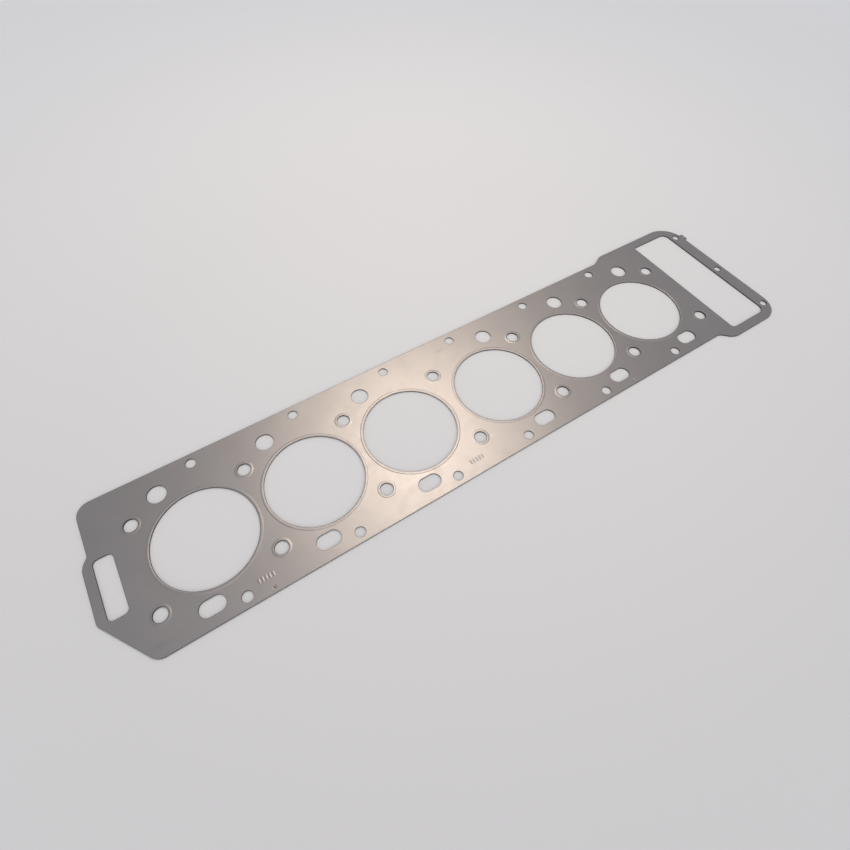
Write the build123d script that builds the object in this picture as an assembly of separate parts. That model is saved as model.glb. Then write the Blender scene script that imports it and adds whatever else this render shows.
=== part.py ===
# Cylinder head gasket of an in-line six-cylinder engine, of the multi-layer steel kind: a flat carrier sheet
# between two thin embossed sheets. At three places outside the clamped deck the embossed sheets are dished
# through a hole in the carrier until they meet, and a small rivet holds them together below both faces.
#
# +X runs along the bore row to the timing-chain end, +Y across the block to the side with the round water
# holes, and +Z up to the cylinder head. The origin is the middle of the web between bores 3 and 4, on the
# plane that the gasket rests on.
from build123d import *
import os

# --- Bore row (mm) ---
cylinders_per_half = 3        # the hole pattern is mirrored about the centre web
bore_diameter = 100.0         # opening in the gasket, a little over the cylinder bore
bore_web = 12.0               # metal between neighbouring bore openings
centre_web = 17.0             # metal between the two middle bore openings

# --- Sheets (mm) ---
active_thickness = 0.25       # each embossed sheet
carrier_thickness = 0.7       # flat sheet between them
bead_height = 0.3             # how far a bore bead stands above its sheet
bead_width = 2.6
bead_lip = 0.6                # flat lip between the bore's edge and its bead
step_height = 0.2             # how far the pad round a head bolt hole is raised
pad_width = 1.5               # flat raised ring round a head bolt hole
step_width = 1.3              # slope from that ring down to the sheet

# --- Head bolt holes ---
bolt_hole_diameter = 13.5     # clears an M12 bolt
bolt_inset = 3.0              # the two rows lie this far inside the lines that touch the bores
rear_bolt_distance = 56.0     # from the rear bore's centre to the last pair of holes
timing_bolt_distance = 58.5   # from the foremost bore's centre to the first pair of holes

# --- Water holes: distances across start at the lines that touch the bores, and distances along at a bore ---
round_diameter = 19.0
round_clear = 16.0
round_shift = 26.0            # away from the centre web
slot_length = 24.6
slot_width = 15.5
slot_clear = 13.5
slot_shift = 15.8             # away from the centre web
jet_diameter = 10.6
jet_back_clear = 32.0
jet_front_clear = 22.0
jet_shift = 12.9              # towards the centre web

# --- Outline of the deck ---
back_margin = 43.0            # from the line that touches the bores to the back edge
front_margin = 32.0
rear_margin = 97.4            # from the rear bore's centre to the rear edge
rear_corner_radius = 11.0
gallery_bulge = 6.8           # how far the oil gallery's edge stands beyond the rear edge
gallery_top = 41.0            # where the bulge leaves the rear edge
gallery_rise = 11.0           # length of that S-shaped step
gallery_bottom = 26.3         # where the cut-off corner starts
chamfer_length = 35.4         # of the cut-off corner, along X
chamfer_rear_radius = 9.0
chamfer_front_radius = 13.0
gallery_length = 61.2         # oil gallery slot
gallery_width = 18.2
gallery_wall = 9.0            # metal outside the slot
gallery_corner_radius = 5.0

# --- Timing-chain frame ---
frame_length = 155.5          # from the foremost bore's centre to the outer edge
frame_back_step = 8.0         # the frame stands this far beyond the deck's back edge
frame_back_start = 9.0        # where the back step starts, from the foremost bore's centre
frame_back_rise = 15.0
frame_front_step = 13.0
frame_front_start = 54.0
frame_front_rise = 14.0
frame_front_radius = 3.5      # where the deck's front edge turns out into the frame
back_corner_radius = 31.5
front_corner_radius = 27.0
chest_start = 79.0            # from the foremost bore's centre to the chain opening
chest_back_rim = 12.0
chest_front_rim = 11.5
chest_end_rim = 17.5
chest_outer_radius = 9.0
chest_inner_radius = 3.0
cover_hole_diameter = 8.0     # clears an M7 bolt
cover_hole_relief = 0.2       # on the radius, the embossed sheets stand back from the carrier's hole
cover_hole_spacing = 75.0
cover_hole_inset = 8.7        # from the frame's outer edge

# --- Ear and rivets ---
ear_reach = 4.2
ear_width = 9.8
ear_inset = 30.3              # from the frame's back edge to the middle of the ear
ear_radius = 1.0
rivet_diameter = 1.2
rivet_hole_clearance = 0.08   # on the radius, before the rivet is upset
rivet_head_diameter = 2.4
rivet_head_height = 0.2
dish_floor_width = 0.75       # flat ring round the rivet hole, which the head is upset on
dish_slope_width = 0.6        # slope from that ring up to the sheet
dish_clearance = 0.15         # on the radius, between a dish and its hole in the carrier
rivet_edge = 5.4              # from the front edge to the two rivets beside it
rear_rivet_shift = 36.2       # from the rear bore, towards the centre web
timing_rivet_shift = 24.2     # from the middle bore of the timing half, away from the centre web

# --- Worked out ---
bore_radius = bore_diameter / 2
pitch = bore_diameter + bore_web
first_bore = (bore_diameter + centre_web) / 2
bore_stations = [first_bore + n * pitch for n in range(cylinders_per_half)]
last_bore = bore_stations[-1]
bead_outer = bore_radius + bead_lip + bead_width
bolt_radius = bolt_hole_diameter / 2
step_outer = bolt_radius + pad_width + step_width
rivet_hole_radius = rivet_diameter / 2 + rivet_hole_clearance
dish_outer = rivet_hole_radius + dish_floor_width + dish_slope_width
dish_depth = carrier_thickness / 2    # the two sheets meet in the middle of the carrier
bolt_row = bore_radius - bolt_inset
deck_back = bore_radius + back_margin
deck_front = -(bore_radius + front_margin)
frame_back = deck_back + frame_back_step
frame_front = deck_front - frame_front_step
rear_edge = -(last_bore + rear_margin)
outer_edge = last_bore + frame_length
carrier_bottom = bead_height + active_thickness
carrier_top = carrier_bottom + carrier_thickness
middle_height = (carrier_bottom + carrier_top) / 2
ear_centre = frame_back - ear_inset


def both_halves(station, across):
    """The two mirrored places of a hole that lies `station` from the centre web."""
    return [(-station, across), (station, across)]


def bore_centres():
    return [place for bore in bore_stations for place in both_halves(bore, 0)]


def bolt_centres():
    """A pair on the centre web, a pair between each two bores, and a pair beyond each end of the row."""
    inner = [bore + pitch / 2 for bore in bore_stations[:-1]]
    stations = [0.0] + inner + [-bore for bore in inner]
    stations += [-(last_bore + rear_bolt_distance), last_bore + timing_bolt_distance]
    return [(x, side * bolt_row) for x in stations for side in (1, -1)]


def water_centres(shift, across):
    """One hole beside each bore, moved by `shift` away from the centre web."""
    return [place for bore in bore_stations for place in both_halves(bore + shift, across)]


def cover_centres():
    x = outer_edge - cover_hole_inset
    return [(x, row * cover_hole_spacing) for row in (-1, 0, 1)]


def rivet_centres():
    """Two rivets along the front edge and one in the ear, all outside the clamped deck."""
    along = deck_front + rivet_edge
    return {
        "rear_rivet": (-(last_bore - rear_rivet_shift), along),
        "timing_rivet": (bore_stations[1] + timing_rivet_shift, along),
        "ear_rivet": (outer_edge, ear_centre),
    }


def rounded(corners):
    """A closed outline through `corners`, each an (x, y, fillet radius)."""
    with BuildSketch() as shape:
        with BuildLine():
            Polyline(*[(x, y) for x, y, _ in corners], close=True)
        make_face()
        for x, y, radius in corners:
            fillet(shape.vertices().sort_by_distance((x, y))[0], radius)
    return shape.sketch


def outline():
    """Deck, oil gallery bulge and timing frame in one outline, from the rear top corner clockwise."""
    gallery_edge = rear_edge - gallery_bulge
    back_step = last_bore + frame_back_start
    front_step = last_bore + frame_front_start
    body = rounded([
        (rear_edge, deck_back, rear_corner_radius),
        (back_step, deck_back, frame_back_rise),
        (back_step + frame_back_rise, frame_back, frame_back_rise),
        (outer_edge, frame_back, back_corner_radius),
        (outer_edge, frame_front, front_corner_radius),
        (front_step + frame_front_rise, frame_front, frame_front_rise / 2),
        (front_step, deck_front, frame_front_radius),
        (gallery_edge + chamfer_length, deck_front, chamfer_front_radius),
        (gallery_edge, -gallery_bottom, chamfer_rear_radius),
        (gallery_edge, gallery_top - gallery_rise, gallery_rise / 2),
        (rear_edge, gallery_top, gallery_rise / 2),
    ])
    ear_length = ear_reach + chest_end_rim / 2
    ear_x = outer_edge + ear_reach - ear_length / 2
    ear = Pos(ear_x, ear_centre) * RectangleRounded(ear_length, ear_width, ear_radius)
    return body + ear - chest()


def chest():
    """Opening that the timing chain passes through."""
    left = last_bore + chest_start
    right = outer_edge - chest_end_rim
    top = frame_back - chest_back_rim
    bottom = frame_front + chest_front_rim
    return rounded([
        (left, top, chest_inner_radius),
        (right, top, chest_outer_radius),
        (right, bottom, chest_outer_radius),
        (left, bottom, chest_inner_radius),
    ])


def gallery_slot():
    """Oil return slot in the rear bulge, centred on the bore row."""
    x = rear_edge - gallery_bulge + gallery_wall + gallery_width / 2
    return Pos(x, 0) * RectangleRounded(gallery_width, gallery_length, gallery_corner_radius)


def holes(centres, radius):
    return [Pos(x, y) * Circle(radius) for x, y in centres]


def sheet(thickness, bore_cut, bolt_cut, cover_cut, rivet_cut):
    """A flat sheet with every opening, as thick as given, standing on the plane z = 0. The cuts are radii."""
    cuts = [gallery_slot()]
    cuts += holes(bore_centres(), bore_cut)
    cuts += holes(bolt_centres(), bolt_cut)
    cuts += holes(cover_centres(), cover_cut)
    cuts += holes(rivet_centres().values(), rivet_cut)
    cuts += holes(water_centres(round_shift, bore_radius + round_clear), round_diameter / 2)
    cuts += holes(water_centres(-jet_shift, bore_radius + jet_back_clear), jet_diameter / 2)
    cuts += holes(water_centres(-jet_shift, -(bore_radius + jet_front_clear)), jet_diameter / 2)
    for x, y in water_centres(slot_shift, -(bore_radius + slot_clear)):
        cuts.append(Pos(x, y) * SlotOverall(slot_length, slot_width))
    return extrude(outline() - cuts, thickness)


def bead_collar():
    """Ring from a bore's edge to the outside of its bead: a flat lip, then an arched full bead."""
    t = active_thickness
    lip_end = bore_radius + bead_lip
    crest = lip_end + bead_width / 2
    with BuildPart() as collar:
        with BuildSketch(Plane.XZ):
            with BuildLine():
                Line((lip_end, 0), (bore_radius, 0))
                Line((bore_radius, 0), (bore_radius, t))
                Line((bore_radius, t), (lip_end, t))
                ThreePointArc((lip_end, t), (crest, t + bead_height), (bead_outer, t))
                Line((bead_outer, t), (bead_outer, 0))
                ThreePointArc((bead_outer, 0), (crest, bead_height), (lip_end, 0))
            make_face()
        revolve(axis=Axis.Z)
    return collar.part


def pressed_collar(hole_radius, flat_width, slope_width, rise):
    """Ring pressed round a hole: a flat ring `rise` above the sheet, or below it, then a slope back to the sheet."""
    t = active_thickness
    flat_end = hole_radius + flat_width
    outside = flat_end + slope_width
    with BuildPart() as collar:
        with BuildSketch(Plane.XZ):
            with BuildLine():
                Polyline(
                    (hole_radius, rise),
                    (flat_end, rise),
                    (outside, 0),
                    (outside, t),
                    (flat_end, rise + t),
                    (hole_radius, rise + t),
                    close=True,
                )
            make_face()
        revolve(axis=Axis.Z)
    return collar.part


def embossed_sheet():
    """An active sheet with its beads standing up and its rivet dishes down, its flat underside on z = 0."""
    bead = bead_collar()
    pad = pressed_collar(bolt_radius, pad_width, step_width, step_height)
    dish = pressed_collar(rivet_hole_radius, dish_floor_width, dish_slope_width, -dish_depth)
    collars = [Pos(x, y) * bead for x, y in bore_centres()]
    collars += [Pos(x, y) * pad for x, y in bolt_centres()]
    collars += [Pos(x, y) * dish for x, y in rivet_centres().values()]
    cover_cut = cover_hole_diameter / 2 + cover_hole_relief
    return sheet(active_thickness, bead_outer, step_outer, cover_cut, dish_outer) + collars


def carrier():
    """The flat carrier, with holes that the rivet dishes reach through, its underside on z = 0."""
    dish_cut = dish_outer + dish_clearance
    return sheet(carrier_thickness, bore_radius, bolt_radius, cover_hole_diameter / 2, dish_cut)


def rivet():
    """A solid rivet through the two dished sheets, with a low domed head on each dish's floor."""
    radius = rivet_diameter / 2
    head = rivet_head_diameter / 2
    low = middle_height - active_thickness
    high = middle_height + active_thickness
    crown = high + rivet_head_height
    foot = low - rivet_head_height
    with BuildPart() as pin:
        with BuildSketch(Plane.XZ):
            with BuildLine():
                Line((0, foot), (0, crown))
                TangentArc((0, crown), (head, high), tangent=(1, 0))
                Line((head, high), (radius, high))
                Line((radius, high), (radius, low))
                Line((radius, low), (head, low))
                TangentArc((0, foot), (head, low), tangent=(1, 0))
            make_face()
        revolve(axis=Axis.Z)
    return pin.part


active = embossed_sheet()
top_sheet = Pos(0, 0, carrier_top) * active
parts = {
    "top_active_sheet": top_sheet,
    "carrier_sheet": Pos(0, 0, carrier_bottom) * carrier(),
    "bottom_active_sheet": mirror(top_sheet, about=Plane.XY.offset(middle_height)),
}
for name, (x, y) in rivet_centres().items():
    parts[name] = Pos(x, y) * rivet()

os.makedirs("parts", exist_ok=True)
for name, solid in parts.items():
    solid.label = name
    export_step(solid, f"parts/{name}.step")
    size = solid.bounding_box().size
    print(f"{name}: {size.X:.2f} x {size.Y:.2f} x {size.Z:.2f} mm, {solid.volume:.0f} mm3")
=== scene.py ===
from math import pi, radians

import bpy
import numpy as np
from mathutils import Matrix, Vector
from mathutils.geometry import delaunay_2d_cdt


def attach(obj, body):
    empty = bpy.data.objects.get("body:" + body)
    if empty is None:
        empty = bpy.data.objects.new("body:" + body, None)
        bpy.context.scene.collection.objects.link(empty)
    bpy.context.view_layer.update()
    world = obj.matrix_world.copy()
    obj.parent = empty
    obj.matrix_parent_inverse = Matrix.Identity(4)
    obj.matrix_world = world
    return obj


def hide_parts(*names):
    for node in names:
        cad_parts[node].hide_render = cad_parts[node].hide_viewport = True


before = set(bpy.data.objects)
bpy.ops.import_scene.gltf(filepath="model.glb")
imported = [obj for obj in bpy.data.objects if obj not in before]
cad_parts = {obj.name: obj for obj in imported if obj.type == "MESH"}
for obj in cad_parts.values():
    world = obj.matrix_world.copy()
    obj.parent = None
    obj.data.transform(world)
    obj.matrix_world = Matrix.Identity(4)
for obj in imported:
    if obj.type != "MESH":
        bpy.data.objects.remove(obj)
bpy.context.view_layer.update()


# --- Bottom active sheet -----------------------------------------------------------------------------------
# The lower of two thin spring-steel sheets, blanked from rolled strip and then embossed: a full bead round
# each bore and a raised pad round each head bolt hole, both facing down here, and three small dishes that
# reach up through the carrier to the rivets. Sizes are in millimetres and become metres in the mesh.
millimetre = 0.001
active_thickness = 0.25
carrier_thickness = 0.7
bead_height = 0.3
bead_lip = 0.6
bead_width = 2.6
pad_height = 0.2
pad_width = 1.5
pad_slope = 1.3
dish_depth = carrier_thickness / 2
dish_floor = 0.75
dish_slope = 0.6
carrier_level = bead_height + active_thickness
top_level = carrier_level + carrier_thickness
stack_height = top_level + active_thickness + bead_height

bore_radius = 50.0
bolt_radius = 6.75
round_radius = 9.5
jet_radius = 5.3
cover_radius = 4.0
cover_relief = 0.2
rivet_hole_radius = 0.68
bore_places = [(x, 0.0) for x in (-282.5, -170.5, -58.5, 58.5, 170.5, 282.5)]
bolt_places = [(x, y) for x in (-338.5, -226.5, -114.5, 0.0, 114.5, 226.5, 341.0) for y in (-47.0, 47.0)]
round_places = [(x, 66.0) for x in (-308.5, -196.5, -84.5, 84.5, 196.5, 308.5)]
slot_places = [(x, -63.5) for x in (-298.3, -186.3, -74.3, 74.3, 186.3, 298.3)]
jet_places = [(x, y) for x in (-269.6, -157.6, -45.6, 45.6, 157.6, 269.6) for y in (82.0, -72.0)]
cover_places = [(429.3, y) for y in (-75.0, 0.0, 75.0)]
rivet_places = [(-246.3, -76.6), (194.7, -76.6), (438.0, 70.7)]


def round_holes(places, radius, points):
    """Hole edges, clockwise so that the metal lies to the left: centre + radius * (cos a, -sin a)."""
    turn = np.linspace(0.0, 2.0 * pi, points, endpoint=False)
    circle = radius * np.column_stack([np.cos(turn), -np.sin(turn)])
    return [np.array(place) + circle for place in places]


def rounded_edge(corners, steps=12):
    """Closed edge through rows of (x, y, radius). With u and v the directions from a corner to its two
    neighbours and h half the angle between them, the arc's centre is corner + r / sin(h) along u + v, and
    its points turn evenly from the touching point corner + u * r / tan(h) to corner + v * r / tan(h)."""
    table = np.array(corners, float)
    place, radius = table[:, :2], table[:, 2:]
    u = np.roll(place, 1, axis=0) - place
    v = np.roll(place, -1, axis=0) - place
    u /= np.linalg.norm(u, axis=1, keepdims=True)
    v /= np.linalg.norm(v, axis=1, keepdims=True)
    half = np.arccos(np.sum(u * v, axis=1, keepdims=True)) / 2.0
    middle = (u + v) / np.linalg.norm(u + v, axis=1, keepdims=True)
    centre = place + middle * radius / np.sin(half)
    first = place + u * radius / np.tan(half) - centre
    last = place + v * radius / np.tan(half) - centre
    sweep = (pi - 2.0 * half)[:, :, None]
    t = np.linspace(0.0, 1.0, steps)[None, :, None]
    arcs = np.sin((1.0 - t) * sweep) * first[:, None, :] + np.sin(t * sweep) * last[:, None, :]
    return (centre[:, None, :] + arcs / np.sin(sweep)).reshape(-1, 2)


slot_half_length = 12.3
slot_half_width = 7.75
slot_corner = 7.749


def water_slot(place):
    """Stadium, as a rectangle whose corner radius is almost half its width; clockwise."""
    x, y = place
    rear, front = x - slot_half_length, x + slot_half_length
    near, far = y - slot_half_width, y + slot_half_width
    return rounded_edge([
        (rear, near, slot_corner),
        (rear, far, slot_corner),
        (front, far, slot_corner),
        (front, near, slot_corner),
    ], steps=16)


outer_edge = 438.0
frame_back = 101.0
back_corner = 31.5
ear_low = 65.8
ear_high = 75.6
ear_reach = 442.2
ear_corner = 1.0
ear_root = outer_edge - 8.0
root_corner = 0.1


def deck_edge():
    """The gasket's outline, counter-clockwise: deck, timing frame and oil gallery bulge. The ear is let into
    the frame's outer edge, in place of the edge's own points inside the ear's width. Its upper side starts
    on the frame's back corner, at corner centre + sqrt(radius^2 - height^2) for its height above that."""
    edge = rounded_edge([
        (-379.9, 93.0, 14.0),
        (-379.9, 37.8, 4.0),
        (-386.7, 29.0, 16.0),
        (-386.7, -28.0, 9.0),
        (-350.9, -82.0, 13.0),
        (336.5, -82.0, 8.0),
        (350.5, -95.0, 20.0),
        (outer_edge, -95.0, 27.0),
        (outer_edge, frame_back, back_corner),
        (306.5, frame_back, 15.0),
        (291.5, 93.0, 15.0),
    ], steps=20)
    ear = rounded_edge([
        (ear_root, ear_low, root_corner),
        (ear_reach, ear_low, ear_corner),
        (ear_reach, ear_high, ear_corner),
        (ear_root, ear_high, root_corner),
    ], steps=8)
    ear = ear[ear[:, 0] > outer_edge]
    above_centre = ear_high - (frame_back - back_corner)
    high_start = outer_edge - back_corner + np.sqrt(back_corner ** 2 - above_centre ** 2)
    covered = (edge[:, 0] > ear_root) & (edge[:, 1] > ear_low) & (edge[:, 1] < ear_high)
    after_ear = np.flatnonzero(covered)[-1] + 1
    edge = np.roll(edge, -after_ear, axis=0)[: len(edge) - np.count_nonzero(covered)]
    return np.vstack([edge, [[outer_edge, ear_low]], ear, [[high_start, ear_high]]])


chest_edge = rounded_edge([(361.5, -83.5, 5.0), (361.5, 89.0, 3.0), (420.5, 89.0, 9.0), (420.5, -83.5, 9.0)])
gallery_edge = rounded_edge([
    (-377.7, -30.6, 5.0),
    (-377.7, 30.6, 5.0),
    (-359.5, 30.6, 5.0),
    (-359.5, -30.6, 5.0),
])


def bead(inset):
    """Full bead with a broad crest and short flanks: bead_height * (1 - u^6)^1.5, where u runs from -1 to 1
    across its width, and zero on both sides."""
    u = np.clip(2.0 * (inset - bead_lip) / bead_width - 1.0, -1.0, 1.0)
    return bead_height * (1.0 - u ** 6) ** 1.5


def ramp(inset, flat, slope, rise):
    """Flat ring of height `rise`, then a smooth slope to zero: rise * (1 - (3 s^2 - 2 s^3)), where s runs
    from 0 to 1 across the slope."""
    s = np.clip((inset - flat) / slope, 0.0, 1.0)
    return rise * (1.0 - s * s * (3.0 - 2.0 * s))


roll_width = 0.06
roll_depth = 0.05
foot_width = 0.012
foot_height = 0.015


def section(insets, lift, thickness):
    """Section of a sheet at an edge, from its upper face round the edge to its underside, as rows of
    (distance in from the edge, height). `lift` is the height of the emboss at each inset. The punch rolls
    the upper arris over by a quarter ellipse, roll_width * (1 - sin a) in and roll_depth * (1 - cos a) down,
    and leaves the lower one almost sharp."""
    edge_lift = lift[-1]
    quarter = np.linspace(0.0, pi / 2.0, 4)[1:]
    rolled_in = roll_width * (1.0 - np.sin(quarter))
    rolled_down = roll_depth * (1.0 - np.cos(quarter))
    rolled = np.column_stack([rolled_in, edge_lift + thickness - rolled_down])
    foot = np.array([[0.0, edge_lift + foot_height], [foot_width, edge_lift]])
    upper = np.column_stack([insets, lift + thickness])
    lower = np.column_stack([insets, lift])[::-1]
    return np.vstack([upper, rolled, foot, lower])


def carry(edge, profile):
    """Carries a section along an edge. The way in from each point of the edge is the mean of its two sides'
    normals, lengthened by 1 / cos of half the turn, so that the section stays as wide in a corner as on a
    straight."""
    after = np.roll(edge, -1, axis=0) - edge
    after /= np.linalg.norm(after, axis=1, keepdims=True)
    before = np.roll(after, 1, axis=0)
    inward = np.column_stack([-(after + before)[:, 1], (after + before)[:, 0]])
    inward /= np.linalg.norm(inward, axis=1, keepdims=True)
    inward /= np.sum(inward * np.column_stack([-after[:, 1], after[:, 0]]), axis=1, keepdims=True)
    flat = edge[None, :, :] + inward[None, :, :] * profile[:, None, :1]
    height = np.broadcast_to(profile[:, None, 1:], flat.shape[:2] + (1,))
    return np.concatenate([flat, height], axis=2)


# Reach in millimetres of the painted shade from a sheared edge onto the face.
shade_reach = 0.36
inside_without_holes = 2
nearness = 1e-6


def pressed_sheet(name, edges, level, turned=False):
    """One sheet as a closed skin. `edges` are (edge, section) pairs, the outline first. Each section is
    carried along its edge as a grid. The first rows of all grids bound the upper face and the last rows the
    underside, and one triangulation between them fills both. The attribute edge_shade is
    1 - inset / shade_reach, never below zero; it masks painted shade, which darkens the sheared walls and a
    narrow rim of the faces beside them. A turned sheet is mirrored in the middle of the stack."""
    grids = [carry(edge, profile) for edge, profile in edges]
    starts = np.cumsum([0] + [grid.shape[0] * grid.shape[1] for grid in grids])
    points = np.vstack([grid.reshape(-1, 3) for grid in grids])
    walls, upper, lower, loops = [], [], [], []
    count = 0
    for grid, start in zip(grids, starts):
        rows, columns = grid.shape[:2]
        index = start + np.arange(rows * columns).reshape(rows, columns)
        after = np.roll(index, -1, axis=1)
        walls.append(np.stack([index[:-1], index[1:], after[1:], after[:-1]], axis=-1).reshape(-1, 4))
        upper.append(index[0])
        lower.append(index[-1])
        loops.append((count + np.arange(columns)).tolist())
        count += columns
    walls, upper, lower = np.vstack(walls), np.hstack(upper), np.hstack(lower)
    fill = delaunay_2d_cdt(points[upper, :2].tolist(), [], loops, inside_without_holes, nearness)
    triangles, sources = np.array(fill[2]), np.array(fill[3])
    filled = sources[:, 0][triangles]
    # Mask of painted shade: 1 at an edge, falling to zero at the reach in from it.
    edge_shade_mask = np.vstack([
        np.repeat(np.clip(1.0 - profile[:, :1] / shade_reach, 0.0, 1.0), len(edge), axis=1).reshape(-1, 1)
        for edge, profile in edges
    ])
    points[:, 2] += level
    quads, tops, undersides = walls, upper[filled], lower[filled][:, ::-1]
    if turned:
        points[:, 2] = stack_height - points[:, 2]
        quads, tops, undersides = quads[:, ::-1], tops[:, ::-1], undersides[:, ::-1]
    faces = quads.tolist() + tops.tolist() + undersides.tolist()
    mesh = bpy.data.meshes.new(name)
    mesh.from_pydata((points * millimetre).tolist(), [], faces)
    mesh.shade_smooth()
    edge_shade = mesh.attributes.new("edge_shade", "FLOAT", "POINT")
    edge_shade.data.foreach_set("value", edge_shade_mask.ravel().astype(np.float32))
    piece = bpy.data.objects.new(name, mesh)
    bpy.context.scene.collection.objects.link(piece)
    return piece


# The rows of each section lie at these distances in from the edge: a guard row on the flat sheet, the rows
# of the emboss, one on the flat between emboss and edge, and one where the roll starts.
guard = 0.4
dish_guard = 0.2
bead_end = bead_lip + bead_width
pad_end = pad_width + pad_slope
dish_end = dish_floor + dish_slope
bead_rows = 23
slope_rows = 7
lip_middle = 0.25
pad_middle = 0.7
floor_middle = 0.4
across_bead = np.sin(np.linspace(pi / 2.0, -pi / 2.0, bead_rows))
bead_insets = bead_lip + bead_width / 2.0 * (1.0 + across_bead)
bead_insets = np.concatenate([[bead_end + guard], bead_insets, [lip_middle, roll_width]])
pad_insets = np.linspace(pad_end, pad_width, slope_rows)
pad_insets = np.concatenate([[pad_end + guard], pad_insets, [pad_middle, roll_width]])
dish_insets = np.linspace(dish_end, dish_floor, slope_rows)
dish_insets = np.concatenate([[dish_end + dish_guard], dish_insets, [floor_middle, roll_width]])
plain_insets = np.array([guard, roll_width])
bead_section = section(bead_insets, bead(bead_insets), active_thickness)
pad_section = section(pad_insets, ramp(pad_insets, pad_width, pad_slope, pad_height), active_thickness)
dish_section = section(dish_insets, ramp(dish_insets, dish_floor, dish_slope, -dish_depth), active_thickness)
thin_section = section(plain_insets, np.zeros(2), active_thickness)


def sheet_edges(plain, at_bore, at_bolt, at_rivet, cover_cut, rivet_cut):
    """Pairs of edge and section for one sheet: the outline first, then every opening. `plain` is the section
    at an edge with no emboss, the next three are those at a bore, a head bolt hole and a rivet, and the last
    two are the radii of the cover holes and of the holes at the rivets."""
    edges = [(deck_edge(), plain), (chest_edge, plain), (gallery_edge, plain)]
    edges += [(hole, at_bore) for hole in round_holes(bore_places, bore_radius, points=180)]
    edges += [(hole, at_bolt) for hole in round_holes(bolt_places, bolt_radius, points=56)]
    edges += [(hole, plain) for hole in round_holes(round_places, round_radius, points=64)]
    edges += [(water_slot(place), plain) for place in slot_places]
    edges += [(hole, plain) for hole in round_holes(jet_places, jet_radius, points=48)]
    edges += [(hole, plain) for hole in round_holes(cover_places, cover_cut, points=40)]
    edges += [(hole, at_rivet) for hole in round_holes(rivet_places, rivet_cut, points=32)]
    return edges


active_edges = sheet_edges(
    thin_section, bead_section, pad_section, dish_section,
    cover_cut=cover_radius + cover_relief, rivet_cut=rivet_hole_radius,
)


def node_group(name, inputs, outputs):
    """Empty shader node group with float or vector inputs, each (name, socket type, value), and float
    outputs."""
    group = bpy.data.node_groups.new(name, "ShaderNodeTree")
    for label, kind, value in inputs:
        socket = group.interface.new_socket(label, in_out="INPUT", socket_type=kind)
        if value is not None:
            socket.default_value = value
    for label in outputs:
        group.interface.new_socket(label, in_out="OUTPUT", socket_type="NodeSocketFloat")
    return group, group.nodes.new("NodeGroupInput"), group.nodes.new("NodeGroupOutput")


def rolling_grain_group():
    """Fine streaks that rolling leaves along X, as a noise stretched along that axis, and broad uneven
    patches."""
    stretch = (0.035, 1.0, 1.0)
    group, given, result = node_group(
        "rolling_grain",
        [("Vector", "NodeSocketVector", None), ("Streak Scale", "NodeSocketFloat", 2600.0),
         ("Patch Scale", "NodeSocketFloat", 22.0)],
        ["Streak", "Patch"],
    )
    nodes, links = group.nodes, group.links
    stretched = nodes.new("ShaderNodeVectorMath")
    stretched.operation = "MULTIPLY"
    stretched.inputs[1].default_value = stretch
    streak = nodes.new("ShaderNodeTexNoise")
    streak.inputs["Detail"].default_value = 3.0
    patch = nodes.new("ShaderNodeTexNoise")
    patch.inputs["Detail"].default_value = 4.0
    patch.inputs["Distortion"].default_value = 0.6
    links.new(given.outputs["Vector"], stretched.inputs[0])
    links.new(stretched.outputs[0], streak.inputs["Vector"])
    links.new(given.outputs["Streak Scale"], streak.inputs["Scale"])
    links.new(given.outputs["Vector"], patch.inputs["Vector"])
    links.new(given.outputs["Patch Scale"], patch.inputs["Scale"])
    links.new(streak.outputs["Fac"], result.inputs["Streak"])
    links.new(patch.outputs["Fac"], result.inputs["Patch"])
    return group


def handling_group():
    """Marks of handling: hair scratches, where a stretched noise passes a level, and soft smears, which are
    the upper half of a twisted noise."""
    scratch_turn = radians(34.0)
    scratch_stretch = (0.05, 1.0, 1.0)
    group, given, result = node_group(
        "handling_marks",
        [("Vector", "NodeSocketVector", None), ("Scratch Scale", "NodeSocketFloat", 260.0),
         ("Smear Scale", "NodeSocketFloat", 38.0)],
        ["Scratch", "Smear"],
    )
    nodes, links = group.nodes, group.links
    turned = nodes.new("ShaderNodeMapping")
    turned.inputs["Rotation"].default_value = (0.0, 0.0, scratch_turn)
    turned.inputs["Scale"].default_value = scratch_stretch
    hair = nodes.new("ShaderNodeTexNoise")
    hair.inputs["Detail"].default_value = 2.0
    band = nodes.new("ShaderNodeMapRange")
    band.inputs["From Min"].default_value = 0.70
    band.inputs["From Max"].default_value = 0.76
    smear = nodes.new("ShaderNodeTexNoise")
    smear.inputs["Detail"].default_value = 5.0
    smear.inputs["Distortion"].default_value = 1.4
    soft = nodes.new("ShaderNodeMapRange")
    soft.inputs["From Min"].default_value = 0.5
    soft.inputs["From Max"].default_value = 0.75
    links.new(given.outputs["Vector"], turned.inputs["Vector"])
    links.new(turned.outputs["Vector"], hair.inputs["Vector"])
    links.new(given.outputs["Scratch Scale"], hair.inputs["Scale"])
    links.new(hair.outputs["Fac"], band.inputs["Value"])
    links.new(band.outputs["Result"], result.inputs["Scratch"])
    links.new(given.outputs["Vector"], smear.inputs["Vector"])
    links.new(given.outputs["Smear Scale"], smear.inputs["Scale"])
    links.new(smear.outputs["Fac"], soft.inputs["Value"])
    links.new(soft.outputs["Result"], result.inputs["Smear"])
    return group


rolling_grain = rolling_grain_group()
handling_marks = handling_group()


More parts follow.
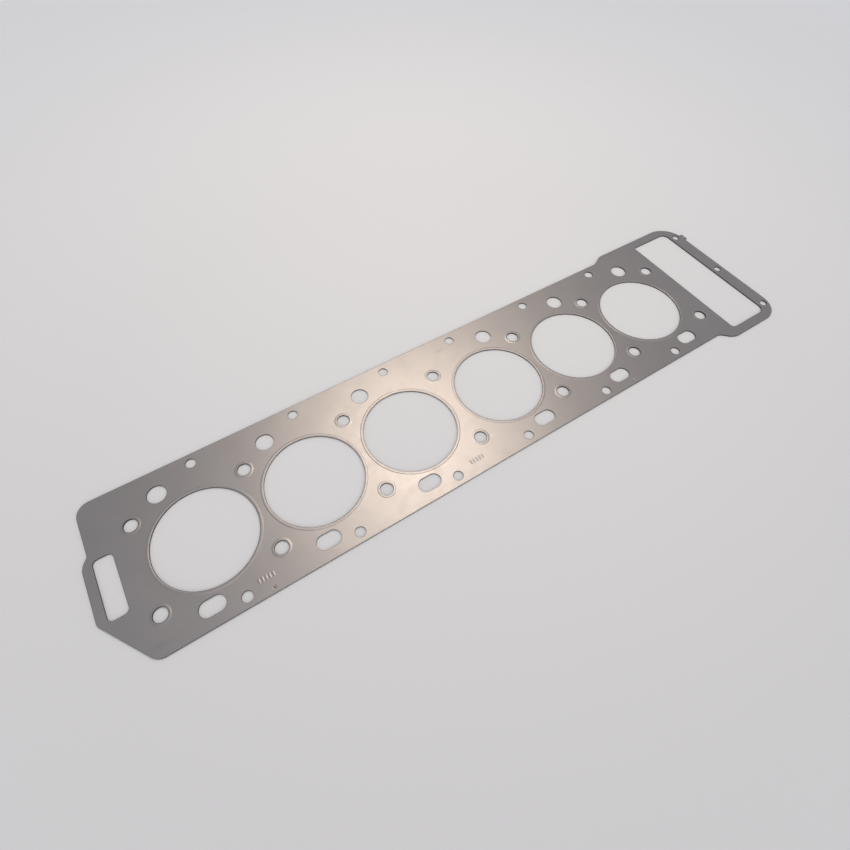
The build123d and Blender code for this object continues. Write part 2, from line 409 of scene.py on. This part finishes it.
def steel(name, bright, dull, edge, roughness, grain_depth, wave_depth):
    """Bare rolled steel. Streaks and patches drift the colour from `bright` to `dull`, smears darken it, and
    the sheared edge, with a narrow rim of the face beside it, takes the dark colour `edge` as painted shade
    of the walls and of the shadow beside them. Roughness rises with streaks and smears and falls in
    scratches.
    The bump is the depth of the streaks, `grain_depth`, and of a slow waviness of the thin sheet,
    `wave_depth`, less half the grain's depth in scratches, all in metres."""
    streak_share, patch_share = 0.45, 0.55
    smear_colour, smear_darkness = 0.05, 0.55
    streak_roughness, smear_roughness, scratch_polish = 0.10, 0.02, 0.08
    material = bpy.data.materials.new(name)
    material.use_nodes = True
    nodes, links = material.node_tree.nodes, material.node_tree.links
    shader = nodes["Principled BSDF"]
    shader.inputs["Metallic"].default_value = 1.0
    place = nodes.new("ShaderNodeTexCoord")
    grain = nodes.new("ShaderNodeGroup")
    grain.node_tree = rolling_grain
    marks = nodes.new("ShaderNodeGroup")
    marks.node_tree = handling_marks
    links.new(place.outputs["Object"], grain.inputs["Vector"])
    links.new(place.outputs["Object"], marks.inputs["Vector"])

    def reckon(operation, first, second, clamp=False):
        """Scalar maths node; a number is set on its socket and a socket is linked."""
        node = nodes.new("ShaderNodeMath")
        node.operation = operation
        node.use_clamp = clamp
        for socket, value in zip(node.inputs, (first, second)):
            if isinstance(value, (int, float)):
                socket.default_value = value
            else:
                links.new(value, socket)
        return node.outputs[0]

    def blend(amount, first, second):
        """Colour mix; the two colours are numbers or sockets."""
        node = nodes.new("ShaderNodeMix")
        node.data_type = "RGBA"
        links.new(amount, node.inputs["Factor"])
        for socket, value in zip((node.inputs[6], node.inputs[7]), (first, second)):
            if isinstance(value, tuple):
                socket.default_value = (*value, 1.0)
            else:
                links.new(value, socket)
        return node.outputs[2]

    streak, patch = grain.outputs["Streak"], grain.outputs["Patch"]
    scratch, smear = marks.outputs["Scratch"], marks.outputs["Smear"]
    # Painted shade: by the edge mask read here, the sheared walls and a narrow rim beside them take the dark
    # edge colour.
    edge_shade_mask = nodes.new("ShaderNodeAttribute")
    edge_shade_mask.attribute_name = "edge_shade"
    streak_part = reckon("MULTIPLY", streak, streak_share)
    patch_part = reckon("MULTIPLY", patch, patch_share)
    face = blend(reckon("ADD", streak_part, patch_part, clamp=True), bright, dull)
    smear_tone = tuple(smear_darkness * channel for channel in dull)
    smeared = blend(reckon("MULTIPLY", smear, smear_colour), face, smear_tone)
    links.new(blend(edge_shade_mask.outputs["Fac"], smeared, edge), shader.inputs["Base Color"])
    lowest = roughness - streak_roughness / 2.0
    rough = reckon("ADD", reckon("MULTIPLY", streak, streak_roughness), lowest)
    rough = reckon("ADD", reckon("MULTIPLY", smear, smear_roughness), rough)
    rough = reckon("SUBTRACT", rough, reckon("MULTIPLY", scratch, scratch_polish))
    links.new(rough, shader.inputs["Roughness"])
    wave = nodes.new("ShaderNodeTexNoise")
    wave.inputs["Scale"].default_value = 16.0
    wave.inputs["Detail"].default_value = 1.0
    links.new(place.outputs["Object"], wave.inputs["Vector"])
    wave_part = reckon("MULTIPLY", wave.outputs["Fac"], wave_depth)
    height = reckon("ADD", reckon("MULTIPLY", streak, grain_depth), wave_part)
    height = reckon("SUBTRACT", height, reckon("MULTIPLY", scratch, 0.5 * grain_depth))
    bump = nodes.new("ShaderNodeBump")
    bump.inputs["Strength"].default_value = 1.0
    bump.inputs["Distance"].default_value = 1.0
    links.new(height, bump.inputs["Height"])
    links.new(bump.outputs["Normal"], shader.inputs["Normal"])
    return material


# The near-black edge colour is painted shade on the sheared walls and a narrow rim beside them.
active_steel = steel(
    "active_steel", bright=(0.68, 0.642, 0.61), dull=(0.532, 0.496, 0.472), edge=(0.04, 0.036, 0.035),
    roughness=0.44, grain_depth=0.000010, wave_depth=0.00035,
)
bottom_sheet = pressed_sheet("bottom_sheet", active_edges, top_level, turned=True)
bottom_sheet.data.materials.append(active_steel)
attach(bottom_sheet, "root")
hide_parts("bottom_active_sheet")


# --- Carrier sheet -----------------------------------------------------------------------------------------
# The thicker flat sheet in the middle, plain cold-rolled steel, blanked with the same holes. Only its
# sheared edges show, darkened with painted shade, and the rivets' dishes pass through it.
dish_clearance = 0.15
dish_passage = rivet_hole_radius + dish_end + dish_clearance
thick_section = section(plain_insets, np.zeros(2), carrier_thickness)
carrier_edges = sheet_edges(
    thick_section, thick_section, thick_section, thick_section,
    cover_cut=cover_radius, rivet_cut=dish_passage,
)
# The near-black edge colour is painted shade on the carrier's sheared walls.
carrier_steel = steel(
    "carrier_steel", bright=(0.50, 0.50, 0.51), dull=(0.40, 0.40, 0.41), edge=(0.05, 0.047, 0.05),
    roughness=0.46, grain_depth=0.000006, wave_depth=0.0,
)
middle_sheet = pressed_sheet("middle_sheet", carrier_edges, carrier_level)
middle_sheet.data.materials.append(carrier_steel)
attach(middle_sheet, "root")
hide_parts("carrier_sheet")


# --- Top active sheet --------------------------------------------------------------------------------------
# The same embossed sheet the other way up, bead and pads facing the cylinder head. It carries the satin face
# that is seen.
top_sheet = pressed_sheet("top_sheet", active_edges, top_level)
top_sheet.data.materials.append(active_steel)
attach(top_sheet, "root")
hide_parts("top_active_sheet")


# --- Pressed marks -----------------------------------------------------------------------------------------
# Rows of plain strokes and dots, with no lettering, that a marking tool has raised from the steel of the top
# sheet. They are proud of its face and part of it.
face_level = top_level + active_thickness
mark_height = 0.26
mark_sink = 0.01
stroke_rings = 7
stroke_points = 28


def raised_stroke(x, y, half_width, half_length):
    """Low cushion on a rounded-oblong base: out from the middle by half width * r * |cos a|^0.6 and half
    length * r * |sin a|^0.6, with the signs of cos and sin, and (mark_height + mark_sink) * (1 - r^2)^1.2
    high, with its rim sunk by mark_sink so that it grows out of the face."""
    r = np.linspace(1.0, 0.0, stroke_rings + 1)[:-1, None]
    a = np.linspace(0.0, 2.0 * pi, stroke_points, endpoint=False)[None, :]
    across = half_width * r * np.sign(np.cos(a)) * np.abs(np.cos(a)) ** 0.6
    along = half_length * r * np.sign(np.sin(a)) * np.abs(np.sin(a)) ** 0.6
    height = face_level - mark_sink + (mark_height + mark_sink) * (1.0 - r ** 2) ** 1.2 + 0.0 * a
    cushion = np.stack([x + across, y + along, height], axis=-1).reshape(-1, 3)
    return np.vstack([cushion, [[x, y, face_level + mark_height]]])


def mark_row(name, start, gap, count, half_width, half_length):
    """One row of equal strokes along X, joined into one mesh: rings of quads and a fan round each crest."""
    strokes = [raised_stroke(start[0] + gap * n, start[1], half_width, half_length) for n in range(count)]
    crest = stroke_rings * stroke_points
    index = np.arange(crest).reshape(stroke_rings, stroke_points)
    after = np.roll(index, -1, axis=1)
    rings = np.stack([index[:-1], after[:-1], after[1:], index[1:]], axis=-1).reshape(-1, 4)
    fan = np.column_stack([index[-1], after[-1], np.full(stroke_points, crest)])
    shift = (crest + 1) * np.arange(count)[:, None, None]
    quads = (rings[None] + shift).reshape(-1, 4)
    fans = (fan[None] + shift).reshape(-1, 3)
    mesh = bpy.data.meshes.new(name)
    mesh.from_pydata((np.vstack(strokes) * millimetre).tolist(), [], quads.tolist() + fans.tolist())
    mesh.shade_smooth()
    piece = bpy.data.objects.new(name, mesh)
    bpy.context.scene.collection.objects.link(piece)
    piece.data.materials.append(active_steel)
    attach(piece, "root")


mark_row("rear_marks", (-256.0, -65.0), gap=3.4, count=5, half_width=1.15, half_length=3.3)
mark_row("middle_marks", (-26.0, -66.0), gap=3.6, count=5, half_width=0.9, half_length=3.2)
mark_row("centre_marks", (23.0, 75.0), gap=4.0, count=3, half_width=1.1, half_length=1.1)
mark_row("timing_marks", (133.0, 85.0), gap=2.8, count=5, half_width=0.6, half_length=2.1)


# --- Rivets ------------------------------------------------------------------------------------------------
# Small soft-steel rivets, upset in the dishes so that their heads stay below both faces. The upset heads are
# darker than the sheet.
rivet_radius = 0.6
head_radius = 1.2
head_height = 0.2
pole_share = 0.03
rivet_rings = 9
rivet_points = 40
rivet_steel = steel(
    "rivet_steel", bright=(0.46, 0.42, 0.40), dull=(0.38, 0.345, 0.33), edge=(0.12, 0.11, 0.11),
    roughness=0.5, grain_depth=0.000012, wave_depth=0.0,
)


def rivet_piece(name, place):
    """Turned form: a profile of (radius, height) swung round the axis. Each head is a cap of height
    head_height * (1 - r^2) on its seat, with r from the pole to 1 at its rim. The shank joins the heads, and
    a fan closes each pole."""
    middle = stack_height / 2.0
    seat = active_thickness
    crown_height = seat + head_height
    r = np.linspace(pole_share, 1.0, rivet_rings)
    cap = np.column_stack([head_radius * r, seat + head_height * (1.0 - r * r)])
    shank = np.array([[rivet_radius, seat], [rivet_radius, -seat]])
    lower = cap[::-1] * [1.0, -1.0]
    profile = np.vstack([cap, shank, lower])
    turn = np.linspace(0.0, 2.0 * pi, rivet_points, endpoint=False)
    x = place[0] + profile[:, :1] * np.cos(turn)
    y = place[1] + profile[:, :1] * np.sin(turn)
    z = np.broadcast_to(middle + profile[:, 1:], x.shape)
    points = np.stack([x, y, z], axis=-1).reshape(-1, 3)
    poles = [[*place, middle + crown_height], [*place, middle - crown_height]]
    index = np.arange(len(profile) * rivet_points).reshape(-1, rivet_points)
    after = np.roll(index, -1, axis=1)
    quads = np.stack([index[:-1], index[1:], after[1:], after[:-1]], axis=-1).reshape(-1, 4)
    crown = np.column_stack([index[0], after[0], np.full(rivet_points, len(points))])
    base = np.column_stack([after[-1], index[-1], np.full(rivet_points, len(points) + 1)])
    faces = quads.tolist() + crown.tolist() + base.tolist()
    mesh = bpy.data.meshes.new(name)
    mesh.from_pydata((np.vstack([points, poles]) * millimetre).tolist(), [], faces)
    mesh.shade_smooth()
    piece = bpy.data.objects.new(name, mesh)
    bpy.context.scene.collection.objects.link(piece)
    piece.data.materials.append(rivet_steel)
    return piece


for name, node, place in zip(
    ("rear_pin", "timing_pin", "ear_pin"), ("rear_rivet", "timing_rivet", "ear_rivet"), rivet_places
):
    pin = rivet_piece(name, place)
    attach(pin, "root")
    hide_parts(node)


# --- Floor and light ---------------------------------------------------------------------------------------
# Plain pale floor, one warm soft lamp high over the side with the round holes, and a pale cool surround that
# is brighter and neutral on the side with the water slots.
reach = 8.0
floor_corners = [(-reach, -reach, 0.0), (reach, -reach, 0.0), (reach, reach, 0.0), (-reach, reach, 0.0)]
floor_mesh = bpy.data.meshes.new("floor")
floor_mesh.from_pydata(floor_corners, [], [(0, 1, 2, 3)])
floor = bpy.data.objects.new("floor", floor_mesh)
bpy.context.scene.collection.objects.link(floor)
floor_paint = bpy.data.materials.new("floor_paint")
floor_paint.use_nodes = True
floor_nodes, floor_links = floor_paint.node_tree.nodes, floor_paint.node_tree.links
floor_shader = floor_nodes["Principled BSDF"]
floor_shader.inputs["Base Color"].default_value = (0.92, 0.92, 0.92, 1.0)
floor_shader.inputs["Roughness"].default_value = 0.9
floor_shader.inputs["Emission Color"].default_value = (0.97, 0.98, 1.0, 1.0)
seen = floor_nodes.new("ShaderNodeLightPath")
either = floor_nodes.new("ShaderNodeMath")
either.operation = "MAXIMUM"
any_ray = floor_nodes.new("ShaderNodeMath")
any_ray.operation = "MAXIMUM"
floor_place = floor_nodes.new("ShaderNodeTexCoord")
distance = floor_nodes.new("ShaderNodeVectorMath")
distance.operation = "LENGTH"
fade = floor_nodes.new("ShaderNodeMapRange")
fade.inputs["From Min"].default_value = 0.4
fade.inputs["From Max"].default_value = 2.4
fade.inputs["To Min"].default_value = 0.10
fade.inputs["To Max"].default_value = 0.32
lift = floor_nodes.new("ShaderNodeMath")
lift.operation = "MULTIPLY"
floor_links.new(seen.outputs["Is Camera Ray"], either.inputs[0])
floor_links.new(seen.outputs["Is Glossy Ray"], either.inputs[1])
floor_links.new(floor_place.outputs["Object"], distance.inputs[0])
floor_links.new(distance.outputs["Value"], fade.inputs["Value"])
floor_links.new(either.outputs[0], any_ray.inputs[0])
floor_links.new(seen.outputs["Is Transmission Ray"], any_ray.inputs[1])
floor_links.new(any_ray.outputs[0], lift.inputs[0])
floor_links.new(fade.outputs["Result"], lift.inputs[1])
floor_links.new(lift.outputs[0], floor_shader.inputs["Emission Strength"])
floor.data.materials.append(floor_paint)

lamp_place = Vector((0.23, 0.45, 1.07))
lamp_aim = Vector((-0.06, 0.0, 0.0))
lamp_data = bpy.data.lights.new("key_lamp", "AREA")
lamp_data.size = 0.5
lamp_data.energy = 3.6
lamp_data.color = (1.0, 0.87, 0.74)
lamp = bpy.data.objects.new("key_lamp", lamp_data)
bpy.context.scene.collection.objects.link(lamp)
lamp.location = lamp_place
lamp.rotation_euler = (lamp_place - lamp_aim).to_track_quat("Z", "Y").to_euler()
lamp.visible_camera = False

# The surround's strength by height, from the horizon at 0 to straight up at 1.
horizon_strength = 0.8
height_strengths = ((0.22, 0.58), (0.50, 0.245), (0.85, 0.29))
zenith_strength = 0.5
slot_side_strength = 0.95
world = bpy.data.worlds.new("surround")
bpy.context.scene.world = world
world.use_nodes = True
sky_nodes, sky_links = world.node_tree.nodes, world.node_tree.links
sky_place = sky_nodes.new("ShaderNodeTexCoord")
sky_parts = sky_nodes.new("ShaderNodeSeparateXYZ")
sky_level = sky_nodes.new("ShaderNodeValToRGB")
sky_stops = sky_level.color_ramp.elements
sky_stops[0].color = (*[horizon_strength] * 3, 1.0)
sky_stops[1].color = (*[zenith_strength] * 3, 1.0)
for height, strength in height_strengths:
    sky_stops.new(height).color = (*[strength] * 3, 1.0)
bright_side = sky_nodes.new("ShaderNodeMapRange")
bright_side.inputs["From Min"].default_value = -0.05
bright_side.inputs["From Max"].default_value = -0.75
side_strength = sky_nodes.new("ShaderNodeMath")
side_strength.operation = "MULTIPLY"
side_strength.inputs[1].default_value = slot_side_strength
sky_strength = sky_nodes.new("ShaderNodeMath")
sky_strength.operation = "MAXIMUM"
sky_colour = sky_nodes.new("ShaderNodeMix")
sky_colour.data_type = "RGBA"
sky_colour.inputs[6].default_value = (0.83, 0.86, 0.965, 1.0)
sky_colour.inputs[7].default_value = (0.99, 0.98, 0.97, 1.0)
sky_links.new(sky_place.outputs["Generated"], sky_parts.inputs[0])
sky_links.new(sky_parts.outputs["Z"], sky_level.inputs["Fac"])
sky_links.new(sky_parts.outputs["Y"], bright_side.inputs["Value"])
sky_links.new(bright_side.outputs["Result"], side_strength.inputs[0])
sky_links.new(side_strength.outputs[0], sky_strength.inputs[0])
sky_links.new(sky_level.outputs["Color"], sky_strength.inputs[1])
sky_links.new(bright_side.outputs["Result"], sky_colour.inputs["Factor"])
sky_links.new(sky_colour.outputs[2], sky_nodes["Background"].inputs["Color"])
sky_links.new(sky_strength.outputs[0], sky_nodes["Background"].inputs["Strength"])


# --- Camera ------------------------------------------------------------------------------------------------
# Stands over the rear end on the side with the water slots, and looks down along the bore row. Its turn and
# place, in metres, are one matrix.
bpy.context.scene.view_settings.view_transform = "Standard"
camera_data = bpy.data.cameras.new("camera")
camera_data.sensor_width = 36.0
camera_data.lens = 20.890
camera_data.clip_start = 0.01
camera_data.clip_end = 40.0
camera = bpy.data.objects.new("camera", camera_data)
bpy.context.scene.collection.objects.link(camera)
camera.matrix_world = Matrix((
    (0.845999, 0.444663, -0.294210, -0.19825),
    (-0.532791, 0.726202, -0.434470, -0.23368),
    (0.020463, 0.524314, 0.851279, 0.45248),
    (0.0, 0.0, 0.0, 1.0),
))
bpy.context.scene.camera = camera
